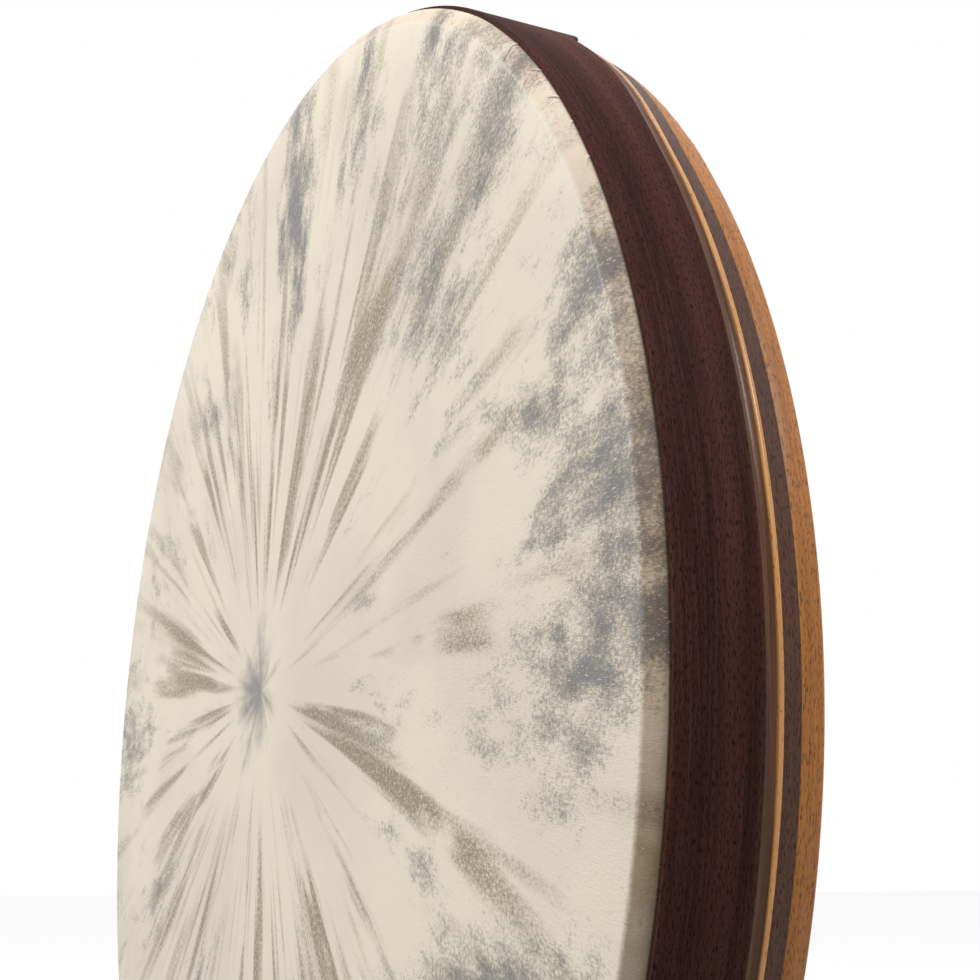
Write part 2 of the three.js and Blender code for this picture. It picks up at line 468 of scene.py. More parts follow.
@dataclass(frozen=True)
class SkinPlace:
    """Coordinates on the skin, in metres from the middle of its face."""

    across: bpy.types.NodeSocket
    depth: bpy.types.NodeSocket
    up: bpy.types.NodeSocket
    radius: bpy.types.NodeSocket
    flat: bpy.types.NodeSocket
    spread: bpy.types.NodeSocket
    way: tuple[bpy.types.NodeSocket, bpy.types.NodeSocket]

    @classmethod
    def on(cls, g: Graph) -> "SkinPlace":
        """Coordinates at the shaded point of a material's graph."""
        across, depth, up = g.drum_axes()
        out = (g.math("SUBTRACT", across, HEART[0] * MM), g.math("SUBTRACT", up, HEART[1] * MM))
        spread = g.math("MAXIMUM", g.radius(*out), 0.0004)
        way = (g.math("DIVIDE", out[0], spread), g.math("DIVIDE", out[1], spread))
        flat = g.combine(g.math("ADD", across, FLAT_SHIFT[0]), g.math("ADD", up, FLAT_SHIFT[1]), depth)
        return cls(across, depth, up, g.radius(across, up), flat, spread, way)

    def fan(self, g: Graph, turns: float, along: float) -> bpy.types.NodeSocket:
        """Coordinates that fan out from the heart of the pattern, with no seam.

        Args:
            g: The material's graph.
            turns: How fine the pattern is round the heart.
            along: How fine the pattern is along the radius, per metre.

        Returns:
            The fanned coordinates.
        """
        x, y = (g.math("MULTIPLY_ADD", part, turns, shift) for part, shift in zip(self.way, PATTERN_SHIFT))
        return g.combine(x, y, g.math("MULTIPLY", g.math("ADD", self.spread, self.depth), along))


@dataclass(frozen=True)
class SkinFinish:
    """Natural goatskin: cream, with brushed streaks out from the middle, grey clouds and fine hairs."""

    cream: Color = (0.79, 0.715, 0.585)
    blush: Color = (0.725, 0.65, 0.54)
    streak: Color = (0.265, 0.218, 0.142)
    ash: Color = (0.27, 0.243, 0.2)
    slate: Color = (0.185, 0.182, 0.186)
    # Pale pinkish tint of the shoulder towards the top: a painted sheen, as if lit from above.
    painted_top_sheen: Color = (0.9, 0.82, 0.78)
    umber: Color = (0.44, 0.325, 0.22)
    # Near-black brown that darkens the shoulder towards the bottom.
    bark: Color = (0.12, 0.084, 0.053)
    # Painted shadow along the hoop's front edge.
    gap_shadow: Color = (0.05, 0.03, 0.022)
    # Colour of the pale hairs, and of the highlights painted on the tucks and along the crest.
    pale: Color = (0.84, 0.79, 0.69)
    roughness: float = 0.55
    ior: float = 1.25
    grain: float = 1.7

    def build(self) -> bpy.types.Material:
        """Make the material.

        Returns:
            The finished material.
        """
        g = Graph(Slot.GOATSKIN.value)
        place = SkinPlace.on(g)
        spread = g.noise(place.fan(g, 620.0, 560.0), 1.0, 2.0, 0.55)
        beyond = g.band(place.spread, 0.006, 0.05)
        hairs = g.math("MULTIPLY_ADD", g.math("SUBTRACT", spread, 0.5), beyond, 0.5)
        down = g.noise(place.flat, 800.0, 3.0, 0.6)
        grain = g.math("MULTIPLY", g.math("SUBTRACT", g.math("ADD", hairs, down), 1.0), self.grain)
        tone = g.noise(place.flat, 13.0, 4.0, 0.55)
        base = g.mix(g.band(tone, 0.38, 0.68), self.cream, self.blush)
        base = g.mix(self.streaks(g, place, grain), base, self.streak)
        haze, cores = self.clouds(g, place, grain)
        base = g.mix(haze, base, self.ash)
        base = g.mix(cores, base, self.slate)
        base = g.mix(self.heart(g, place, hairs), base, self.slate)
        base = g.mix(g.math("MULTIPLY", haze, g.band(hairs, 0.56, 0.7, 0.0, 0.65)), base, self.pale)
        base = self.shoulder(g, place, base, grain)
        # Painted highlight: the tucks are painted pale, as if their ridges caught the light.
        fold = g.node("ShaderNodeAttribute", attribute_name="fold").outputs["Fac"]
        base = g.mix(g.math("MULTIPLY", fold, 0.8), base, self.pale)
        base = g.mix(g.band(hairs, 0.62, 0.76, 0.0, 0.25), base, self.pale)
        base = g.mix(g.band(down, 0.35, 0.25, 0.0, 0.4), base, self.streak)
        g.feed(g.shader.inputs["Base Color"], base)
        rough = g.band(hairs, 0.3, 0.7, self.roughness - 0.08, self.roughness + 0.1)
        g.feed(g.shader.inputs["Roughness"], rough)
        g.shader.inputs["IOR"].default_value = self.ior
        g.bump(g.math("ADD", g.math("MULTIPLY", tone, 0.6), g.math("MULTIPLY", grain, 0.5)), 0.32, 0.3)
        return g.material

    def streaks(self, g: Graph, place: SkinPlace, grain: Socket) -> bpy.types.NodeSocket:
        """Grey-brown brushed streaks that run out from the middle in broken dashes.

        Args:
            g: The material's graph.
            place: Coordinates on the skin.
            grain: Fine grain that breaks the streaks' edges.

        Returns:
            How strongly the streaks show.
        """
        broad = g.band(g.noise(place.fan(g, 9.5, 5.5), 1.0, 2.0, 0.45), 0.47, 0.67)
        narrow = g.band(g.noise(place.fan(g, 17.0, 5.5), 1.0, 2.0, 0.5), 0.48, 0.69, 0.0, 0.85)
        dashes = g.band(g.noise(place.fan(g, 6.0, 15.0), 1.0, 3.0, 0.55), 0.32, 0.53)
        fine = g.math("MULTIPLY", narrow, g.band(place.spread, 0.03, 0.1))
        brushed = g.math("MULTIPLY", g.math("MAXIMUM", broad, fine), dashes)
        rimward = g.band(place.radius, 0.13, 0.24, 1.0, 0.55)
        within = g.math("MULTIPLY", g.band(place.spread, 0.018, 0.06), rimward)
        soft = g.math("MULTIPLY", brushed, within)
        return g.band(g.math("MULTIPLY", soft, g.math("ADD", grain, 0.8)), 0.04, 0.96, 0.0, 0.95)

    def clouds(self, g: Graph, place: SkinPlace, grain: Socket) -> tuple[Socket, Socket]:
        """Clouds that gather towards the rim: a grainy ash haze round smooth slate cores.

        Args:
            g: The material's graph.
            place: Coordinates on the skin.
            grain: Fine grain that frays the clouds' edges.

        Returns:
            How strongly the haze and the cores show.
        """
        shape = g.noise(place.fan(g, 4.6, 12.0), 1.0, 5.0, 0.58, 0.2)
        crumbs = g.noise(place.fan(g, 26.0, 70.0), 1.0, 4.0, 0.65)
        aside = g.band(place.across, -0.12, 0.2, -0.035, 0.03)
        rimward = g.math("ADD", g.band(place.radius, 0.08, 0.2, -0.10, 0.0), aside)
        mixed = g.math("ADD", g.math("MULTIPLY", shape, 0.72), g.math("MULTIPLY", crumbs, 0.28))
        gathered = g.math("ADD", mixed, rimward)
        soft = g.band(g.math("MULTIPLY_ADD", grain, 0.07, gathered), 0.46, 0.59)
        frayed = g.math("MULTIPLY", soft, g.math("MULTIPLY_ADD", grain, 0.9, 0.75))
        haze = g.band(frayed, 0.0, 1.0, 0.0, 0.85)
        return haze, g.band(g.math("MULTIPLY_ADD", grain, 0.03, gathered), 0.55, 0.625, 0.0, 0.82)

    def heart(self, g: Graph, place: SkinPlace, hairs: Socket) -> bpy.types.NodeSocket:
        """Small dark heart beside the middle, with short rays where the streaks meet.

        Args:
            g: The material's graph.
            place: Coordinates on the skin.
            hairs: Noise of the hairs.

        Returns:
            How strongly the heart shows.
        """
        left = g.math("MULTIPLY_ADD", place.way[0], 0.009, place.spread)
        rays = g.noise(place.fan(g, 4.0, 20.0), 1.0, 2.0, 0.5)
        rough = g.noise(place.flat, 75.0, 3.0, 0.6)
        ragged = g.math("ADD", left, g.math("MULTIPLY", g.math("SUBTRACT", rays, 0.5), 0.035))
        frayed = g.math("ADD", ragged, g.math("MULTIPLY", g.math("SUBTRACT", rough, 0.5), 0.035))
        worn = g.math("ADD", frayed, g.math("MULTIPLY", g.math("SUBTRACT", hairs, 0.5), 0.03))
        return g.band(worn, -0.004, 0.026, 0.8, 0.0)

    def shoulder(self, g: Graph, place: SkinPlace, base: Socket, grain: Socket) -> bpy.types.NodeSocket:
        """Stained shoulder over the bearing edge, sheen painted on its top, shadow painted at the hoop, and
        a thin pale crease painted as a highlight along its crest.

        Args:
            g: The material's graph.
            place: Coordinates on the skin.
            base: Colour of the flat skin.
            grain: Fine grain that frays the tan.

        Returns:
            The colour with the shoulder on it.
        """
        crest, edge = RIM.crest * MM, RIM.gold_outer * MM
        blotch = g.band(g.noise(place.flat, 26.0, 4.0, 0.6), 0.35, 0.7, 0.68, 1.0)
        reach = g.math("ADD", place.radius, g.math("MULTIPLY", grain, 0.0004))
        tan = g.math("MULTIPLY", g.band(reach, crest - 0.0004, edge - 0.0042), blotch)
        # Painted light on the stain: towards the top it fades to a pale pinkish painted sheen, and towards
        # the bottom it darkens to bark.
        stain_and_sheen = g.mix(g.band(place.up, 0.15, -0.02), self.painted_top_sheen, self.umber)
        stain_and_sheen = g.mix(g.band(place.up, 0.0, -0.13), stain_and_sheen, self.bark)
        tanned = g.mix(tan, base, stain_and_sheen, "MULTIPLY")
        # Painted shadow: a dark line on the skin just in front of the hoop's edge, where the hoop casts its
        # shadow. It steps back with the hoop.
        stepped = g.band(place.up, 0.181, 0.213, 0.0, RIM.step_depth * MM)
        seam = g.math("SUBTRACT", place.depth, stepped)
        tanned = g.mix(g.band(seam, 0.0035, 0.0041, 0.0, 0.9), tanned, self.gap_shadow)
        # Painted highlight: a thin pale line along the crest, stronger towards the top.
        crease = g.math(
            "MULTIPLY",
            g.band(place.radius, crest - 0.0007, crest - 0.0002),
            g.band(place.radius, crest, crest + 0.0006, 1.0, 0.0),
        )
        painted_crest_highlight = g.math("MULTIPLY", crease, g.band(place.up, -0.02, 0.15, 0.0, 0.24))
        return g.mix(painted_crest_highlight, tanned, self.pale)


@dataclass(frozen=True)
class SteelFinish:
    """Bright steel wire with faint drawing marks."""

    tone: Color = (0.62, 0.62, 0.63)
    tarnish: Color = (0.40, 0.38, 0.36)
    roughness: float = 0.24

    def build(self) -> bpy.types.Material:
        """Make the material.

        Returns:
            The finished material.
        """
        g = Graph(Slot.STEEL.value)
        place = g.node("ShaderNodeTexCoord").outputs["Object"]
        marks = g.noise(place, 700.0, 3.0, 0.6)
        dull = g.noise(place, 90.0, 3.0)
        base = g.mix(g.band(dull, 0.5, 0.75, 0.0, 0.7), self.tone, self.tarnish)
        g.feed(g.shader.inputs["Base Color"], base)
        g.shader.inputs["Metallic"].default_value = 1.0
        rough = g.band(marks, 0.3, 0.7, self.roughness - 0.06, self.roughness + 0.14)
        g.feed(g.shader.inputs["Roughness"], rough)
        g.bump(marks, 0.1, 0.05)
        return g.material


FINISHES: dict[Slot, Callable[[], bpy.types.Material]] = {
    Slot.GOATSKIN: SkinFinish().build,
    Slot.ROSEWOOD: WoodFinish(
        Slot.ROSEWOOD,
        dark=(0.031, 0.0115, 0.0095),
        middle=(0.062, 0.0225, 0.0175),
        light=(0.105, 0.040, 0.030),
        pore=(0.009, 0.0035, 0.003),
        figure=90.0,
        roughness=0.6,
        ior=1.1,
    ).build,
    Slot.GOLD_WOOD: WoodFinish(
        Slot.GOLD_WOOD,
        dark=(0.54, 0.22, 0.05),
        middle=(0.72, 0.32, 0.08),
        light=(0.84, 0.42, 0.13),
        pore=(0.075, 0.031, 0.013),
        pore_share=0.36,
        roughness=0.24,
        ior=1.42,
        seed=1.7,
        # Painted shade for the hollow in front of the bead.
        hollow=(0.16, 0.064, 0.026),
    ).build,
    Slot.DARK_WOOD: WoodFinish(
        Slot.DARK_WOOD,
        dark=(0.056, 0.025, 0.0155),
        middle=(0.098, 0.044, 0.027),
        light=(0.15, 0.071, 0.044),
        pore=(0.015, 0.0065, 0.004),
        figure=140.0,
        roughness=0.4,
        seed=3.1,
    ).build,
    Slot.HONEY_WOOD: WoodFinish(
        Slot.HONEY_WOOD,
        dark=(0.33, 0.118, 0.026),
        middle=(0.46, 0.172, 0.038),
        light=(0.6, 0.246, 0.062),
        pore=(0.085, 0.031, 0.010),
        pore_share=0.44,
        figure=46.0,
        roughness=0.36,
        ior=1.3,
        seed=5.3,
    ).build,
    Slot.STEEL: SteelFinish().build,
}


class Workshop:
    """Shared steps of making a piece: selecting, spinning, finishing and fixing it to the frame."""

    materials: dict[Slot, bpy.types.Material] = {}
    smooth_angle: float = 40.0

    @classmethod
    def material(cls, slot: Slot) -> bpy.types.Material:
        """The material of a slot, made on first use."""
        if slot not in cls.materials:
            cls.materials[slot] = FINISHES[slot]()
        return cls.materials[slot]

    @staticmethod
    def only(piece: bpy.types.Object) -> None:
        """Select one piece and make it active."""
        bpy.ops.object.select_all(action="DESELECT")
        piece.select_set(True)
        bpy.context.view_layer.objects.active = piece

    @classmethod
    def spin(cls, name: str, section: Sequence[SectionPoint], steps: int) -> bpy.types.Object:
        """Spin a closed section round the drum's axis, starting at the bottom.

        Args:
            name: Name of the piece.
            section: Points round the section, in order.
            steps: Steps of the spin.

        Returns:
            The spun piece. Its points note their place on the land, and their depth in the section.
        """
        bpy.ops.object.select_all(action="DESELECT")
        bpy.ops.mesh.primitive_circle_add(vertices=len(section), fill_type="NOTHING")
        piece = bpy.context.object
        piece.name = piece.data.name = name
        for key, index in (("land_radius", 0), ("land_depth", 1)):
            values = piece.data.attributes.new(key, "FLOAT", "POINT")
            values.data.foreach_set("value", [point.land()[index] for point in section])
        cut = piece.data.attributes.new("cut_depth", "FLOAT", "POINT")
        cut.data.foreach_set("value", [point.depth * MM for point in section])
        for vertex, point in zip(piece.data.vertices, section):
            vertex.co = DRUM.place(point.radius, point.depth, -math.pi / 2)
        bpy.ops.object.mode_set(mode="EDIT")
        bpy.ops.mesh.select_all(action="SELECT")
        bpy.ops.mesh.spin(
            steps=steps, angle=2 * math.pi, use_auto_merge=True, center=DRUM.centre(), axis=(0.0, 1.0, 0.0)
        )
        bpy.ops.mesh.select_all(action="SELECT")
        bpy.ops.mesh.remove_doubles(threshold=0.004 * MM)
        bpy.ops.mesh.dissolve_degenerate(threshold=0.001 * MM)
        bpy.ops.mesh.normals_make_consistent(inside=False)
        bpy.ops.object.mode_set(mode="OBJECT")
        return piece

    @classmethod
    def finish(cls, piece: bpy.types.Object, slot: Slot, node: str, body: str) -> bpy.types.Object:
        """Smooth and dress a piece, and let it stand for its solid.

        Args:
            piece: The modelled piece.
            slot: Material slot.
            node: The solid that it replaces.
            body: The body that it moves with.

        Returns:
            The piece.
        """
        cls.only(piece)
        bpy.ops.object.transform_apply(location=True, rotation=True, scale=True)
        bpy.ops.object.shade_smooth_by_angle(angle=math.radians(cls.smooth_angle))
        piece.data.materials.clear()
        piece.data.materials.append(cls.material(slot))
        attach(piece, body)
        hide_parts(node)
        LOG.info("%s: %d faces on %s", piece.name, len(piece.data.polygons), body)
        return piece


@dataclass
class RimLayer:
    """One layer of the rim, swept round the drum and relieved at its back edge."""

    node: str
    slot: Slot
    section: Callable[[], list[SectionPoint]]
    steps: int = 480
    edge_wave: float = 0.0

    def build(self) -> bpy.types.Object:
        """Model the layer.

        Returns:
            The finished piece.
        """
        piece = Workshop.spin(f"{self.node}_wood", self.section(), self.steps)
        self.relieve(piece)
        return Workshop.finish(piece, self.slot, self.node, "rim")

    def relieve(self, piece: bpy.types.Object) -> None:
        """Carry the back edge from the relief up to the land, and let a hand-cut front edge wave."""
        land_radius = piece.data.attributes["land_radius"].data
        land_depth = piece.data.attributes["land_depth"].data
        for vertex in piece.data.vertices:
            radius, depth, angle = DRUM.polar(vertex.co)
            share = RIM.relief_share(angle)
            radius += (land_radius[vertex.index].value - radius) * (1 - share)
            back = max(land_depth[vertex.index].value, depth)
            depth = min(depth + (back - depth) * (1 - share) + RIM.relief_slide(angle), back)
            if self.edge_wave and depth < RIM.hoop_front + 2 * RIM.hoop_ease:
                wave = math.sin(5 * angle + 1.0) + 0.6 * math.sin(13 * angle)
                depth += self.edge_wave * wave + RIM.step_back(angle)
            vertex.co = DRUM.place(radius, depth, angle)


class LaminatedRim:
    """The core, its dark ply, the gold hoop and the dark hoop."""

    arc_steps: int = 8

    def core_section(self) -> list[SectionPoint]:
        """Core: bearing edge in front, inner wall, relieved and rounded back edge."""
        r = RIM
        crest = r.ply_outer - r.bearing_span
        points = []
        for i in range(self.arc_steps):
            share = i / self.arc_steps
            radius = r.core_inner + (crest - r.core_inner) * share
            points.append(SectionPoint(radius, r.wood_inset + r.bearing_fall * (1 - share) ** 2))
        last = r.bearing_share(r.core_outer)
        for i in range(self.arc_steps + 1):
            points.append(SectionPoint(*r.bearing_point(r.wood_inset, last * i / self.arc_steps)))
        back, land = r.rim_depth, r.core_outer
        for i in range(5):
            share = i / 5
            radius = r.core_outer - r.core_bevel * share**2
            depth = r.ply_end + (back - r.core_corner - r.ply_end) * share
            points.append(SectionPoint(radius, depth, land, back - r.core_land_ease + 0.3 * i))
        for i in range(self.arc_steps + 1):
            turn = math.pi / 2 * i / self.arc_steps
            radius = r.core_outer - r.core_bevel - r.core_round * (1 - math.cos(turn))
            depth = back - r.core_corner * (1 - math.sin(turn))
            points.append(SectionPoint(radius, depth, land - 0.02 * i, back - 0.1 * (self.arc_steps - i)))
        for i in range(5):
            turn = math.pi / 2 * i / 4
            radius = r.core_inner + r.inner_round * (1 - math.sin(turn))
            points.append(SectionPoint(radius, back - r.inner_round * (1 - math.cos(turn))))
        return points

    def ply_section(self) -> list[SectionPoint]:
        """Dark ply: a thin layer that ends as a stripe in the relief."""
        r = RIM
        first = r.bearing_share(r.ply_inner)
        shares = [first + (1 - first) * i / 4 for i in range(5)]
        back = r.rim_depth
        points = [SectionPoint(*r.bearing_point(r.wood_inset, share)) for share in shares]
        points.append(SectionPoint(r.ply_outer, r.gold_end + 0.15, r.ply_outer, back - 0.4))
        points.append(SectionPoint(r.ply_outer - 0.3, r.gold_end + 1.2, r.ply_outer - 0.2, back - 0.1))
        points.append(SectionPoint(r.ply_inner + 0.15, r.ply_end - 0.4, r.ply_inner + 0.2, back))
        points.append(SectionPoint(r.ply_inner, r.ply_end, r.ply_inner, back - 0.02))
        return points

    def gold_section(self) -> list[SectionPoint]:
        """Gold hoop: a hollow that rises to a rounded bead beside the dark stripe."""
        r = RIM
        front, back = r.lap_end + r.lap_clearance, r.rim_depth
        points = [SectionPoint(r.gold_inner, front), SectionPoint(r.gold_outer, front)]
        hollow_end = r.gold_end - r.gold_bead
        for i in range(9):
            share = i / 8
            radius = r.gold_outer - r.gold_hollow * math.sin(math.pi * share)
            depth = r.hoop_end + (hollow_end - r.hoop_end) * share
            points.append(SectionPoint(radius, depth, r.gold_outer, back - 1.6 + 0.1 * i))
        for i in range(1, 8):
            turn = math.pi / 2 * i / 7
            radius = r.gold_outer - r.gold_hoop_thickness * (1 - math.cos(turn))
            depth = hollow_end + (r.gold_end - hollow_end) * math.sin(turn)
            points.append(SectionPoint(radius, depth, r.gold_outer - 0.05 * i, back - 0.8 + 0.1 * i))
        points.append(SectionPoint(r.gold_inner, r.gold_end - 0.3, r.gold_inner, back - 0.1))
        return points

    def hoop_section(self) -> list[SectionPoint]:
        """Dark hoop: eased front edge, and a bevel where the relief starts."""
        r = RIM
        ease, back = r.hoop_ease, r.rim_depth
        points = [SectionPoint(r.hoop_inner, r.hoop_front)]
        for i in range(5):
            turn = math.pi / 2 * i / 4
            radius = r.outer_radius - ease * (1 - math.sin(turn))
            points.append(SectionPoint(radius, r.hoop_front + ease * (1 - math.cos(turn))))
        for i in range(self.arc_steps + 1):
            turn = math.pi / 2 * i / self.arc_steps
            fall = 1 - math.cos(turn)
            points.append(
                SectionPoint(
                    r.outer_radius - r.dark_hoop_thickness * fall,
                    r.relief_start + r.hoop_bevel * math.sin(turn),
                    r.outer_radius - r.edge_round * fall,
                    back - r.edge_round * (1 - math.sin(turn)),
                )
            )
        points.append(SectionPoint(r.hoop_inner, r.hoop_end - 0.4, r.hoop_inner, back))
        return points

    def build(self) -> None:
        """Model the four layers."""
        RimLayer("rim_core", Slot.HONEY_WOOD, self.core_section).build()
        RimLayer("dark_ply", Slot.DARK_WOOD, self.ply_section).build()
        RimLayer("gold_hoop", Slot.GOLD_WOOD, self.gold_section).build()
        RimLayer("dark_hoop", Slot.ROSEWOOD, self.hoop_section, edge_wave=0.12).build()


@dataclass
class GoatskinHead:
    """The skin: flat, over the bearing edge, and down its lap, with small tucks at the hoop."""

    steps: int = 480
    flat_rings: int = 12
    shoulder_rings: int = 18
    tucks: tuple[tuple[float, float], ...] = (
        (44.3, 1.0), (39.2, 0.6), (35.3, 0.55), (32.3, 0.35), (28.5, 0.4),
        (-62.0, 0.4), (203.0, 0.7), (246.0, 0.5),
    )
    tuck_height: float = 0.7
    tuck_foot: float = 0.35
    tuck_lean: float = 1.1
    tuck_lift: float = 0.1
    tuck_slope: tuple[float, float] = (0.6, 0.8)

    def section(self) -> list[SectionPoint]:
        """Closed section of the skin, from the middle of its face round its edge to its inside."""
        r = RIM
        points = [SectionPoint(0.0, 0.0)]
        for i in range(1, self.flat_rings):
            points.append(SectionPoint(r.crest * i / self.flat_rings, 0.0))
        for i in range(self.shoulder_rings + 1):
            points.append(SectionPoint(*r.bearing_point(0.0, i / self.shoulder_rings)))
        for i in range(1, 4):
            points.append(SectionPoint(r.gold_outer, r.bearing_drop + (r.lap_end - r.bearing_drop) * i / 3))
        points.append(SectionPoint(r.gold_outer - r.skin_thickness, r.lap_end))
        for i in range(self.shoulder_rings // 2 + 1):
            points.append(SectionPoint(*r.bearing_point(r.skin_thickness, 1 - 2 * i / self.shoulder_rings)))
        for i in range(1, self.flat_rings):
            points.append(SectionPoint(r.crest * (1 - i / self.flat_rings), r.skin_thickness))
        points.append(SectionPoint(0.0, r.skin_thickness))
        return points

    def build(self) -> bpy.types.Object:
        """Model the skin.

        Returns:
            The finished piece.
        """
        piece = Workshop.spin("goatskin_head_skin", self.section(), self.steps)
        self.mark(piece, 0.0)
        tucks = [self.build_tuck(angle, length) for angle, length in self.tucks]
        Workshop.only(piece)
        for tuck in tucks:
            tuck.select_set(True)
        bpy.ops.object.join()
        return Workshop.finish(piece, Slot.GOATSKIN, "goatskin_head", "rim")

    @staticmethod
    def mark(piece: bpy.types.Object, share: float) -> None:
        """Note on a piece's points how far they belong to a fold, which the skin's material paints pale as
        a highlight.
        """
        fold = piece.data.attributes.new("fold", "FLOAT", "POINT")
        fold.data.foreach_set("value", [share] * len(piece.data.vertices))

    def build_tuck(self, centre: float, length: float) -> bpy.types.Object:
        """Model one thin fold that runs over the shoulder to the hoop.

        Args:
            centre: Turn of the fold from +X, in degrees.
            length: Share of the shoulder that the fold crosses.

        Returns:
            The fold.
        """
        bpy.ops.object.select_all(action="DESELECT")
        bpy.ops.mesh.primitive_uv_sphere_add(segments=10, ring_count=16, radius=1.0)
        tuck = bpy.context.object
        lean = self.tuck_lean * math.sin(0.37 * centre)
        outward, forward = self.tuck_slope
        self.mark(tuck, 1.0)
        for vertex in tuck.data.vertices:
            along = (vertex.co.z + 1) / 2
            share = 1 - length * (1 - along)
            radius, depth = RIM.bearing_point(0.0, share)
            swell = self.tuck_height * (self.tuck_foot + (1 - self.tuck_foot) * along)
            angle = math.radians(centre + lean * (1 - along) ** 2) + vertex.co.x * swell / radius
            lift = self.tuck_lift + vertex.co.y * swell
            vertex.co = DRUM.place(radius + outward * lift, depth - forward * lift, angle)
        return tuck


@dataclass
class Jingle:
    """A screw eye in the inner wall and the steel ring that hangs in it."""

    joint: dict
    eye_mean: float = 4.8
    eye_wire: float = 0.8
    shank_radius: float = 1.0
    shank_bite: float = 6.8
    shank_neck: float = 0.6
    loop_arc: tuple[float, float] = (24.0, 338.0)
    loop_steps: int = 24
    ring_mean: float = 8.0
    ring_wire: float = 0.8
    ring_segments: int = 64
    wire_segments: int = 14
    cut_turn: float = 100.0
    number: str = field(init=False)

    def __post_init__(self) -> None:
        """Take the jingle's number from its joint."""
        self.number = self.joint["name"].rsplit("_", 1)[1]

    def build(self) -> None:
        """Model the eye and the ring."""
        self.build_eye()
        self.build_ring()

    def build_eye(self) -> bpy.types.Object:
        """Bend a wire into a shank and an all but closed loop.

        Returns:
            The finished piece.
        """
        tip, depth, angle = DRUM.polar(Vector(self.joint["pos_m"]))
        middle = tip + self.eye_mean
        root, neck = RIM.core_inner + self.shank_bite, middle + self.eye_mean + self.shank_neck
        route: list[tuple[float, float, float]] = []
        for share in (0.0, 0.35, 0.7, 0.95):
            route.append((root + (neck - root) * share, 0.0, self.shank_radius))
        start, end = self.loop_arc
        for i in range(self.loop_steps + 1):
            turn = math.radians(start + (end - start) * i / self.loop_steps)
            out, aside = self.eye_mean * math.cos(turn), self.eye_mean * math.sin(turn)
            route.append((middle + out, aside, self.eye_wire))
        bpy.ops.object.select_all(action="DESELECT")
        bpy.ops.curve.primitive_nurbs_path_add()
        piece = bpy.context.object
        curve = piece.data
        spline = curve.splines[0]
        spline.points.add(len(route) - len(spline.points))
        for point, (radius, aside, wire) in zip(spline.points, route):
            point.co = (*DRUM.place(radius, depth + aside, angle), 1.0)
            point.radius = wire / self.eye_wire
        spline.order_u = 3
        spline.use_endpoint_u = True
        curve.resolution_u = 3
        curve.bevel_depth = self.eye_wire * MM
        curve.bevel_resolution = 3
        curve.use_fill_caps = True
        bpy.ops.object.convert(target="MESH")
        piece = bpy.context.object
        piece.name = piece.data.name = f"screw_eye_{self.number}_wire"
        bpy.ops.object.mode_set(mode="EDIT")
        bpy.ops.mesh.select_all(action="SELECT")
        bpy.ops.mesh.remove_doubles(threshold=0.002 * MM)
        bpy.ops.mesh.normals_make_consistent(inside=False)
        bpy.ops.object.mode_set(mode="OBJECT")
        return Workshop.finish(piece, Slot.STEEL, f"screw_eye_{self.number}", "rim")

    def build_ring(self) -> bpy.types.Object:
        """Make a ring of wire with the fine saw cut where it was closed.

        Returns:
            The finished piece.
        """
        node = f"jingle_ring_{self.number}"
        low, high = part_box(node)
        centre = (low + high) / 2
        hung = Vector(self.joint["pos_m"]) - centre
        lie = math.atan2(hung.z, hung.x)
        bpy.ops.object.select_all(action="DESELECT")
        bpy.ops.mesh.primitive_torus_add(
            major_segments=self.ring_segments,
            minor_segments=self.wire_segments,
            major_radius=self.ring_mean * MM,
            minor_radius=self.ring_wire * MM,
            location=centre,
            rotation=(math.pi / 2, -lie - math.radians(self.cut_turn), 0.0),
        )
        piece = bpy.context.object
        piece.name = piece.data.name = f"{node}_wire"
        bpy.ops.object.mode_set(mode="EDIT")
        bpy.ops.mesh.select_mode(type="FACE")
        bpy.ops.mesh.select_all(action="DESELECT")
        bpy.ops.object.mode_set(mode="OBJECT")
        for polygon in piece.data.polygons:
            turn = math.atan2(polygon.center.y, polygon.center.x)
            polygon.select = 0 <= turn < 2 * math.pi / self.ring_segments
        bpy.ops.object.mode_set(mode="EDIT")
        bpy.ops.mesh.delete(type="FACE")
        bpy.ops.mesh.select_all(action="SELECT")
        bpy.ops.mesh.fill_holes(sides=self.wire_segments)
        bpy.ops.mesh.select_all(action="SELECT")
        bpy.ops.mesh.normals_make_consistent(inside=False)
        bpy.ops.object.mode_set(mode="OBJECT")
        return Workshop.finish(piece, Slot.STEEL, node, self.joint["child"])


@dataclass(frozen=True)
class Softbox:
    """A square soft lamp that faces the drum."""

    name: str
    place: tuple[float, float, float]
    size: float
    watts: float

    def build(self) -> None:
        """Hang the lamp."""
        bpy.ops.object.light_add(type="AREA", location=self.place)
        lamp = bpy.context.object
        lamp.name = self.name
        lamp.data.shape = "SQUARE"
        lamp.data.size = self.size
        lamp.data.energy = self.watts
        lamp.rotation_euler = (DRUM.centre() - Vector(self.place)).to_track_quat("-Z", "Y").to_euler()


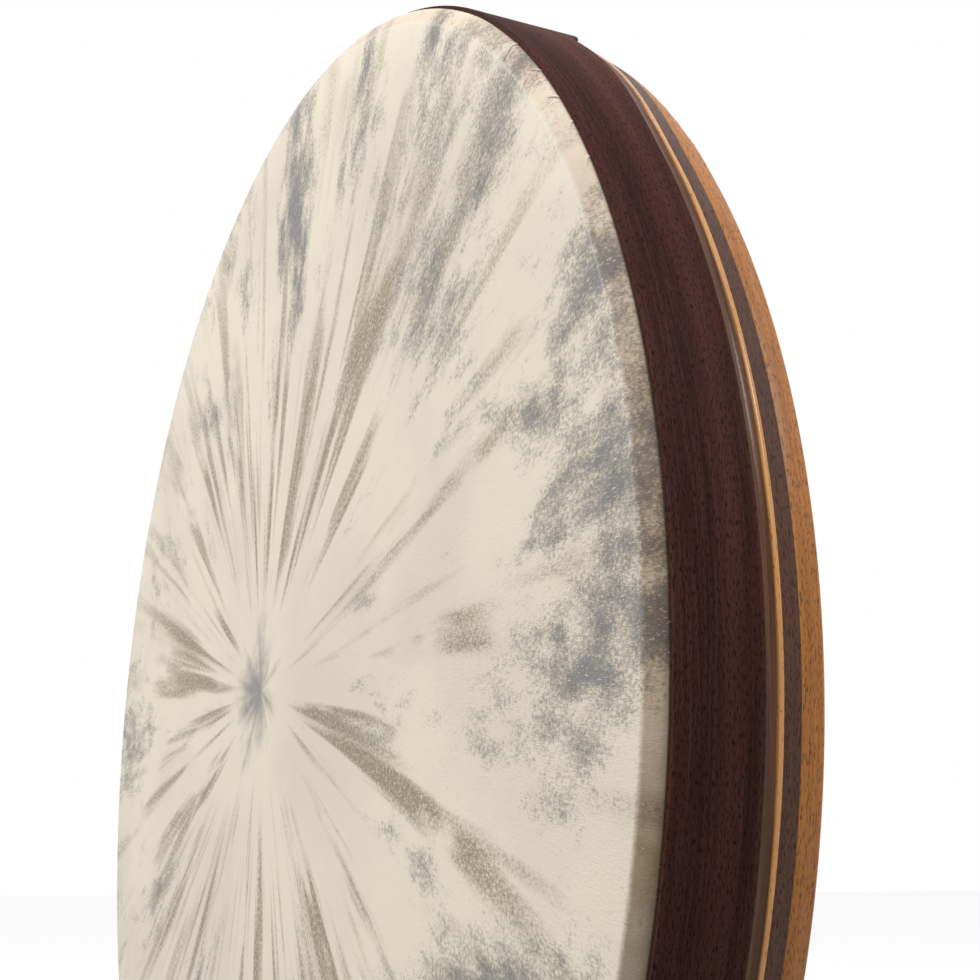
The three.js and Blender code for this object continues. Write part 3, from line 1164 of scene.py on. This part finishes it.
@dataclass(frozen=True)
class Studio:
    """White floor, pale surroundings, soft lamps and the camera of the photograph."""

    camera_azimuth: float = 71.0246
    camera_elevation: float = -6.3267
    camera_distance: float = 570.32
    look_across: float = 160.98
    look_up: float = 74.98
    focal_pixels: float = 1530.8
    axis_pixel: tuple[float, float] = (480.8, 370.5)
    sensor: float = 36.0
    room_light: float = 0.23
    floor_size: float = 30.0
    floor_drop: float = 0.4
    # Glow of the floor near the drum and far from it. The dimmer glow near the drum is painted shade round
    # its foot.
    floor_glow: tuple[float, float] = (1.24, 1.68)
    glow_reach: tuple[float, float] = (0.5, 2.6)
    glow_share: float = 0.5
    lamps: tuple[Softbox, ...] = (
        Softbox("key_softbox", (-0.5, -1.9, 1.5), 1.6, 46.0),
        Softbox("side_softbox", (1.3, -0.5, 2.0), 1.0, 26.0),
        Softbox("rear_softbox", (1.36, 1.0, 1.32), 0.55, 12.0),
    )

    def build(self) -> None:
        """Set the floor, the light and the camera."""
        bpy.context.scene.view_settings.view_transform = "Standard"
        self.build_floor()
        self.build_room()
        for lamp in self.lamps:
            lamp.build()
        self.build_camera()

    def build_floor(self) -> None:
        """Lay a white floor that keeps the drum's shadow, and whose glow is dimmer near the drum as painted
        shade.
        """
        bpy.ops.object.select_all(action="DESELECT")
        bpy.ops.mesh.primitive_plane_add(size=self.floor_size, location=(0.0, 0.0, -self.floor_drop * MM))
        floor = bpy.context.object
        floor.name = "floor"
        g = Graph("floor_white")
        seen = self.seen(g)
        g.feed(g.shader.inputs["Base Color"], g.mix(seen, (0.2, 0.2, 0.2), (0.95, 0.95, 0.95)))
        g.shader.inputs["Roughness"].default_value = 0.9
        g.shader.inputs["Specular IOR Level"].default_value = 0.0
        white = g.node("ShaderNodeEmission")
        # Painted shade: the floor glows less within reach of the drum, greying the floor round it.
        across, depth, _ = g.drum_axes()
        glow_dimmed_near_drum = g.band(g.radius(across, depth), *self.glow_reach, *self.floor_glow)
        g.feed(white.inputs["Strength"], glow_dimmed_near_drum)
        blend = g.node("ShaderNodeMixShader")
        g.feed(blend.inputs[0], g.math("MULTIPLY", seen, self.glow_share))
        g.tree.links.new(g.shader.outputs[0], blend.inputs[1])
        g.tree.links.new(white.outputs[0], blend.inputs[2])
        g.tree.links.new(blend.outputs[0], g.tree.nodes["Material Output"].inputs[0])
        floor.data.materials.append(g.material)

    @staticmethod
    def seen(g: Graph) -> bpy.types.NodeSocket:
        """Whether a ray shows the background: straight, reflected or refracted."""
        path = g.node("ShaderNodeLightPath")
        direct = g.math("MAXIMUM", path.outputs["Is Camera Ray"], path.outputs["Is Glossy Ray"])
        return g.math("MAXIMUM", direct, path.outputs["Is Transmission Ray"])

    def build_room(self) -> None:
        """Surround the drum with pale light that shows white to the camera."""
        world = bpy.data.worlds.new("room")
        bpy.context.scene.world = world
        world.use_nodes = True
        tree = world.node_tree
        light = tree.nodes["Background"]
        light.inputs["Color"].default_value = (1.0, 1.0, 1.0, 1.0)
        path = tree.nodes.new("ShaderNodeLightPath")
        seen: bpy.types.NodeSocket = path.outputs["Is Camera Ray"]
        for ray in ("Is Glossy Ray", "Is Transmission Ray"):
            either = tree.nodes.new("ShaderNodeMath")
            either.operation = "MAXIMUM"
            tree.links.new(seen, either.inputs[0])
            tree.links.new(path.outputs[ray], either.inputs[1])
            seen = either.outputs[0]
        strength = tree.nodes.new("ShaderNodeMapRange")
        tree.links.new(seen, strength.inputs["Value"])
        strength.inputs["To Min"].default_value = self.room_light
        strength.inputs["To Max"].default_value = 1.0
        tree.links.new(strength.outputs[0], light.inputs["Strength"])

    def build_camera(self) -> None:
        """Stand the camera where the photograph was taken from."""
        azimuth, elevation = math.radians(self.camera_azimuth), math.radians(self.camera_elevation)
        level = math.cos(elevation)
        back = Vector((math.sin(azimuth) * level, -math.cos(azimuth) * level, math.sin(elevation)))
        place = DRUM.centre() + back * self.camera_distance * MM
        target = DRUM.centre() + Vector((self.look_across, 0.0, self.look_up)) * MM
        bpy.ops.object.camera_add(location=place)
        camera = bpy.context.object
        camera.name = "photo_camera"
        camera.rotation_euler = (target - place).to_track_quat("-Z", "Y").to_euler()
        camera.data.sensor_width = self.sensor
        camera.data.lens = self.focal_pixels / PHOTO_PIXELS * self.sensor
        camera.data.shift_x = (PHOTO_PIXELS / 2 - self.axis_pixel[0]) / PHOTO_PIXELS
        camera.data.shift_y = (self.axis_pixel[1] - PHOTO_PIXELS / 2) / PHOTO_PIXELS
        camera.data.clip_start = 0.01
        bpy.context.scene.camera = camera


def main() -> None:
    """Build the studio, the rim, the head and the jingles."""
    logging.basicConfig(level=logging.INFO, format="%(name)s: %(message)s")
    Studio().build()
    LaminatedRim().build()
    GoatskinHead().build()
    for joint in frame["joints"]:
        Jingle(joint).build()


if __name__ == "__main__":
    main()
